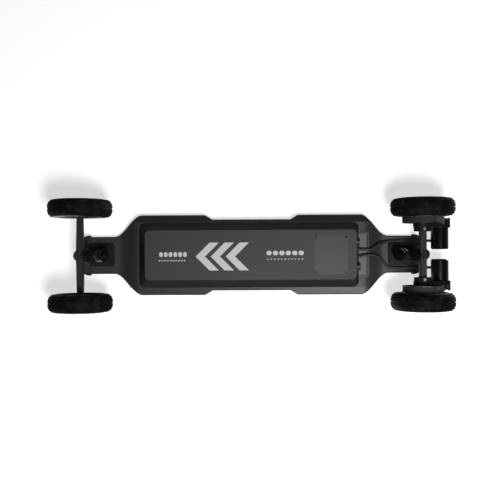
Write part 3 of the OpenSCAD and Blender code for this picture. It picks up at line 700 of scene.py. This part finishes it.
def belt_loop(large, small, span, count):
    """Evenly spaced (place, outward) pairs round two pulleys, with the small one along +X."""
    lean, lengths = belt_stretches(large, small, span)
    straight = lengths[1]
    total = sum(lengths)
    pairs = []
    for i in range(count):
        s = total * i / count
        if s < lengths[0]:
            a = lean + s / large
            outward = Vector((math.cos(a), math.sin(a)))
            pairs.append((outward * large, outward))
            continue
        s -= lengths[0]
        if s < straight:
            outward = Vector((math.cos(lean), -math.sin(lean)))
            foot = Vector((span, 0)) + outward * small
            pairs.append(((outward * large).lerp(foot, s / straight), outward))
            continue
        s -= straight
        if s < lengths[2]:
            a = -lean + s / small
            outward = Vector((math.cos(a), math.sin(a)))
            pairs.append((Vector((span, 0)) + outward * small, outward))
            continue
        s -= lengths[2]
        outward = Vector((math.cos(lean), math.sin(lean)))
        head = Vector((span, 0)) + outward * small
        pairs.append((head.lerp(outward * large, s / straight), outward))
    return pairs


def pulley_reach(teeth):
    """Radius from a pulley's axle to the tips of the belt's teeth on it."""
    return teeth * BELT_PITCH / math.tau - PITCH_LINE + BELT_GAP


def centre_line(name):
    """Where a piece's middle lies, on the board's centre plane."""
    low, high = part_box(name)
    return Vector(((low.x + high.x) / 2, 0, (low.z + high.z) / 2))


def add_belt(side):
    low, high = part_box(f"{side}_belt")
    axle = centre_line("rear_axle")
    reach = (centre_line(f"{side}_motor_rotor") - axle) / MM
    forward = reach.normalized()
    upward = Vector((-forward.z, 0, forward.x))
    large = pulley_reach(DRIVE_TEETH)
    small = pulley_reach(MOTOR_TEETH)
    _, lengths = belt_stretches(large, small, reach.length)
    teeth = round(sum(lengths) / BELT_PITCH)
    rings = []
    for i, (place, outward) in enumerate(belt_loop(large, small, reach.length, teeth * TOOTH_SLICES)):
        rise = 0.0 if i % TOOTH_SLICES < TOOTH_SLICES / 2 else BELT_TOOTH
        back = BELT_BACK - (BACK_RIB if i % 2 else 0.0)
        ring = []
        for offset, y in ((rise, low.y), (rise, high.y), (back, high.y), (back, low.y)):
            spot = place + outward * offset
            point = axle + (forward * spot.x + upward * spot.y) * MM
            ring.append((point.x, y, point.z))
        rings.append(ring)
    name = f"{side}_belt_toothed"
    piece = build(name, joined(rings), closed_rings(rings), finish["belt_rubber"], smooth=False)
    turn_normals_out(piece)
    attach(piece, "rear_hanger")
    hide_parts(f"{side}_belt")


for side in ("left", "right"):
    add_belt(side)


# ---- Motor leads ----

LEAD_R = 3.8
LEAD_SIDES = 24
LEAD_STEPS = 8
FLEX_STEPS = 12
BRAID_LENGTH = 7.0
SEAM_FROM = 0.8
SEAM_TO = 0.2
BELLY_X = -305.3
TAIL_X = -465.0
LEAD_Y = 38.0
LEAD_Z = 162.4
LEAD_GAP = 0.3
NECK_Z = 182.0
MOTOR_BACK = 58.6
MOTOR_UP = 47.3
AXLE_Z = 87.5
GLAND_TURN = math.radians(25)
GLAND_REACH = 29
GLAND_STRAIGHT = 12

left_route = [
    (BELLY_X, 14.5, LEAD_Z), (TAIL_X + 128, 14.5, LEAD_Z), (TAIL_X + 108, 26, LEAD_Z + 2),
    (TAIL_X + 95, 31.6, LEAD_Z + 7), (TAIL_X + 81, 35.5, LEAD_Z + 11), (TAIL_X + 60, LEAD_Y, NECK_Z - 5),
    (TAIL_X + 36, LEAD_Y, NECK_Z - 6), (TAIL_X + 20, LEAD_Y, NECK_Z - 7.5), (TAIL_X, LEAD_Y, NECK_Z - 8),
]
right_route = [
    (BELLY_X, -6, LEAD_Z), (TAIL_X + 149, -2.5, LEAD_Z), (TAIL_X + 138, -1.2, LEAD_Z),
    (TAIL_X + 117, -2.5, LEAD_Z + 1), (TAIL_X + 104, -9, LEAD_Z + 3), (TAIL_X + 92, -19, LEAD_Z + 8),
    (TAIL_X + 83, -31, LEAD_Z + 11), (TAIL_X + 75, -36, NECK_Z - 6), (TAIL_X + 60, -LEAD_Y, NECK_Z - 5),
    (TAIL_X + 36, -LEAD_Y, NECK_Z - 6), (TAIL_X + 20, -LEAD_Y, NECK_Z - 7.5), (TAIL_X, -LEAD_Y, NECK_Z - 8),
]


def from_motor(reach, y):
    """Point this far from the motor's centre, out along its cable gland."""
    x = TAIL_X - MOTOR_BACK + reach * math.sin(GLAND_TURN)
    return x, y, AXLE_Z + MOTOR_UP + reach * math.cos(GLAND_TURN)


def smooth_route(route, steps):
    """Points on a smooth curve through a route's points."""
    points = []
    last = len(route) - 1
    for i in range(last):
        a, b, c, d = (Vector(route[k]) for k in (max(i - 1, 0), i, i + 1, min(i + 2, last)))
        for k in range(steps + (i == last - 1)):
            s = k / steps
            points.append(b + (c - a) * s / 2 + (2 * a - 5 * b + 4 * c - d) * s * s / 2
                          + (3 * b - a - 3 * c + d) * s ** 3 / 2)
    return points


def sleeve(name, points):
    """Round tube along points, with a UV map for its braid."""
    rings = []
    marks = []
    length = 0.0
    for i, point in enumerate(points):
        before = points[max(i - 1, 0)]
        after = points[min(i + 1, len(points) - 1)]
        ahead = (after - before).normalized()
        across = Vector((0, 0, 1)).cross(ahead).normalized()
        up = ahead.cross(across)
        length += (point - before).length if i else 0.0
        ring = []
        for j in range(LEAD_SIDES):
            a = math.tau * j / LEAD_SIDES
            ring.append((point + (across * math.cos(a) + up * math.sin(a)) * LEAD_R) * MM)
            marks.append((j / LEAD_SIDES, length / BRAID_LENGTH))
        rings.append(ring)
    piece = build(name, joined(rings), closed_rings(rings, capped=True), finish["lead_sleeve"])
    turn_normals_out(piece)
    layer = piece.data.uv_layers.new(name="route")
    for face in piece.data.polygons:
        rounds = [marks[piece.data.loops[k].vertex_index] for k in face.loop_indices]
        seam = max(u for u, _ in rounds) > SEAM_FROM
        for k, (u, v) in zip(face.loop_indices, rounds):
            layer.data[k].uv = (u + 1 if seam and u < SEAM_TO else u, v)
    return piece


for side, route in (("left", left_route), ("right", right_route)):
    piece = sleeve(f"{side}_lead_braided", smooth_route(route, LEAD_STEPS))
    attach(piece, "board")
    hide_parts(f"{side}_lead")

for side, y in (("left", LEAD_Y), ("right", -LEAD_Y)):
    flex_route = [
        (TAIL_X - LEAD_GAP, y, NECK_Z - 8), (TAIL_X - 16, y, NECK_Z - 8.4),
        from_motor(GLAND_REACH + GLAND_STRAIGHT, y), from_motor(GLAND_REACH, y),
    ]
    flex = smooth_route(flex_route, FLEX_STEPS)
    meet = len(flex) // 2
    upper = sleeve(f"{side}_flex_lead_upper", flex[:meet + 1])
    lower = sleeve(f"{side}_flex_lead_lower", flex[meet:])
    flex[1] * MM
    flex[meet - 1] * MM
    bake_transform(upper)
    flex[meet + 1] * MM
    flex[-2] * MM
    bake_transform(lower)
    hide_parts(f"{side}_flex_lead")


# ---- Printed marks on the belly ----

belly_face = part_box("belly_cover")[0].z
MARK_LIFT = 0.12 * MM
MARK_SINK = 0.05 * MM
CORNER_SHARE = 0.5
CHEVRONS = 3
CHEVRON_X = 117
CHEVRON_Y = -4
CHEVRON_PITCH = 42
CHEVRON_HALF = 39
CHEVRON_THICK = 26


def add_marks(name, shapes):
    """Thin raised shapes on the belly's face, each a ring of (x, y) in mm."""
    points = []
    faces = []
    for shape in shapes:
        rings = []
        for lift in (-MARK_SINK, MARK_LIFT):
            rings.append([(x * MM, y * MM, belly_face - lift) for x, y in shape])
        faces += closed_rings(rings, len(points), capped=True)
        points += joined(rings)
    piece = build(name, points, faces, finish["mark"], smooth=False)
    turn_normals_out(piece)
    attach(piece, "board")


def bar(x, y, length, height):
    """Bar with clipped corners, its middle at x and y."""
    a = length / 2
    b = height / 2
    c = min(a, b) * CORNER_SHARE
    ring = [(-a + c, -b), (a - c, -b), (a, -b + c), (a, b - c)]
    ring += [(a - c, b), (-a + c, b), (-a, b - c), (-a, -b + c)]
    return [(x + u, y + v) for u, v in ring]


def bar_row(count, x, y, pitch, length, height):
    """Bars in a row to the rear from x."""
    return [bar(x - i * pitch, y, length, height) for i in range(count)]


def chevron(x):
    """Arrow stroke that points to the nose."""
    tip = x + CHEVRON_HALF
    back = x - CHEVRON_THICK
    stroke = [(tip, 0), (x, CHEVRON_HALF), (back, CHEVRON_HALF)]
    stroke += [(tip - CHEVRON_THICK, 0), (back, -CHEVRON_HALF), (x, -CHEVRON_HALF)]
    return [(u, v + CHEVRON_Y) for u, v in stroke]


add_marks("belly_chevrons", [chevron(CHEVRON_X - i * CHEVRON_PITCH) for i in range(CHEVRONS)])
add_marks("front_bars", bar_row(6, 253, 2, 13.4, 10, 13) + bar_row(10, 257, -15, 7.8, 5, 3))
add_marks("rear_bars", bar_row(6, -49, 5, 18, 14, 12) + bar_row(11, -46, -12, 9.6, 5, 2.4))


# ---- Floor, backdrop, lights and camera ----

SHEET_HALF = 6.0
BACKDROP_Z = 0.2
AIM = (0, 0, 0.1)
UNDER_GLOW = 0.04
SKY_GLOW = 0.45
GLOW_FROM = -0.25
GLOW_TO = 0.45
CAMERA_PLACE = (0.0041, 0.0138, -1.798)
CAMERA_ROLL = math.radians(-0.27)

# Place, size and power of each lamp, and whether it casts shadows
LAMPS = {
    "under_key": ((-0.42, -0.82, -2.2), 0.8, 44, True),
    "under_fill": ((-0.70, -2.00, -1.5), 1.0, 18, False),
    "top_key": ((1.3, -1.5, 2.2), 1.2, 70, True),
    "top_fill": ((-1.8, 1.0, 1.8), 1.6, 36, True),
}


def one_sided(name, shade, glow):
    """Matte sheet seen only from its front."""
    paint = Paint(name, roughness=0.9, Base_Color=tinted(shade))
    paint.put("Emission Color", tinted(1.0))
    paint.put("Emission Strength", glow)
    back = paint.node("ShaderNodeNewGeometry", out="Backfacing")
    clear = paint.node("ShaderNodeBsdfTransparent")
    front = Wire(paint, paint.shader.outputs[0])
    shown = paint.node("ShaderNodeMixShader", None, {0: back, 1: front, 2: clear})
    paint.join(paint.tree.nodes["Material Output"].inputs[0], shown)
    return paint.material


def add_sheet(name, height, up, shade, glow):
    ring = [(x * SHEET_HALF, y * SHEET_HALF, height) for x, y in ((-1, -1), (1, -1), (1, 1), (-1, 1))]
    sheet = build(name, ring, [(0, 1, 2, 3) if up else (3, 2, 1, 0)], one_sided(name, shade, glow))
    sheet.visible_shadow = False
    sheet.visible_diffuse = False
    sheet.visible_glossy = False


def add_lamp(name, place, size, power, shadow):
    data = bpy.data.lights.new(name, "AREA")
    data.shape = "DISK"
    data.size = size
    data.energy = power
    data.use_shadow = shadow
    light = bpy.data.objects.new(name, data)
    light.location = place
    light.rotation_mode = "QUATERNION"
    light.rotation_quaternion = (Vector(AIM) - Vector(place)).to_track_quat("-Z", "Y")
    bpy.context.scene.collection.objects.link(light)


def add_sky():
    """White sky that glows softly from the horizon up, and hardly at all from below."""
    world = bpy.data.worlds.new("studio")
    world.use_nodes = True
    sky = Graph(world.node_tree)
    direction = sky.node("ShaderNodeTexCoord", out="Generated")
    rise = sky.node("ShaderNodeSeparateXYZ", None, {0: direction}, out="Z")
    values = {"Value": rise, "From Min": GLOW_FROM, "From Max": GLOW_TO}
    glow = sky.node("ShaderNodeMapRange", None, {**values, "To Min": UNDER_GLOW, "To Max": SKY_GLOW})
    background = sky.tree.nodes["Background"]
    sky.join(background.inputs["Strength"], glow)
    sky.join(background.inputs["Color"], tinted(1.0))
    bpy.context.scene.world = world


add_sheet("floor", 0.0, True, 0.82, 0.0)
add_sheet("backdrop", BACKDROP_Z, False, 0.90, 0.53)
for name, lamp in LAMPS.items():
    add_lamp(name, *lamp)
add_sky()
bpy.context.scene.view_settings.view_transform = "Standard"

camera_data = bpy.data.cameras.new("camera")
camera_data.lens = 50
camera_data.sensor_width = 36
camera_data.clip_start = 0.01
camera_data.clip_end = 50
camera = bpy.data.objects.new("camera", camera_data)
bpy.context.scene.collection.objects.link(camera)
looking_up = Matrix(((-1, 0, 0), (0, 1, 0), (0, 0, -1))).to_4x4()
camera.matrix_world = Matrix.Translation(CAMERA_PLACE) @ looking_up @ Matrix.Rotation(CAMERA_ROLL, 4, "Z")
bpy.context.scene.camera = camera
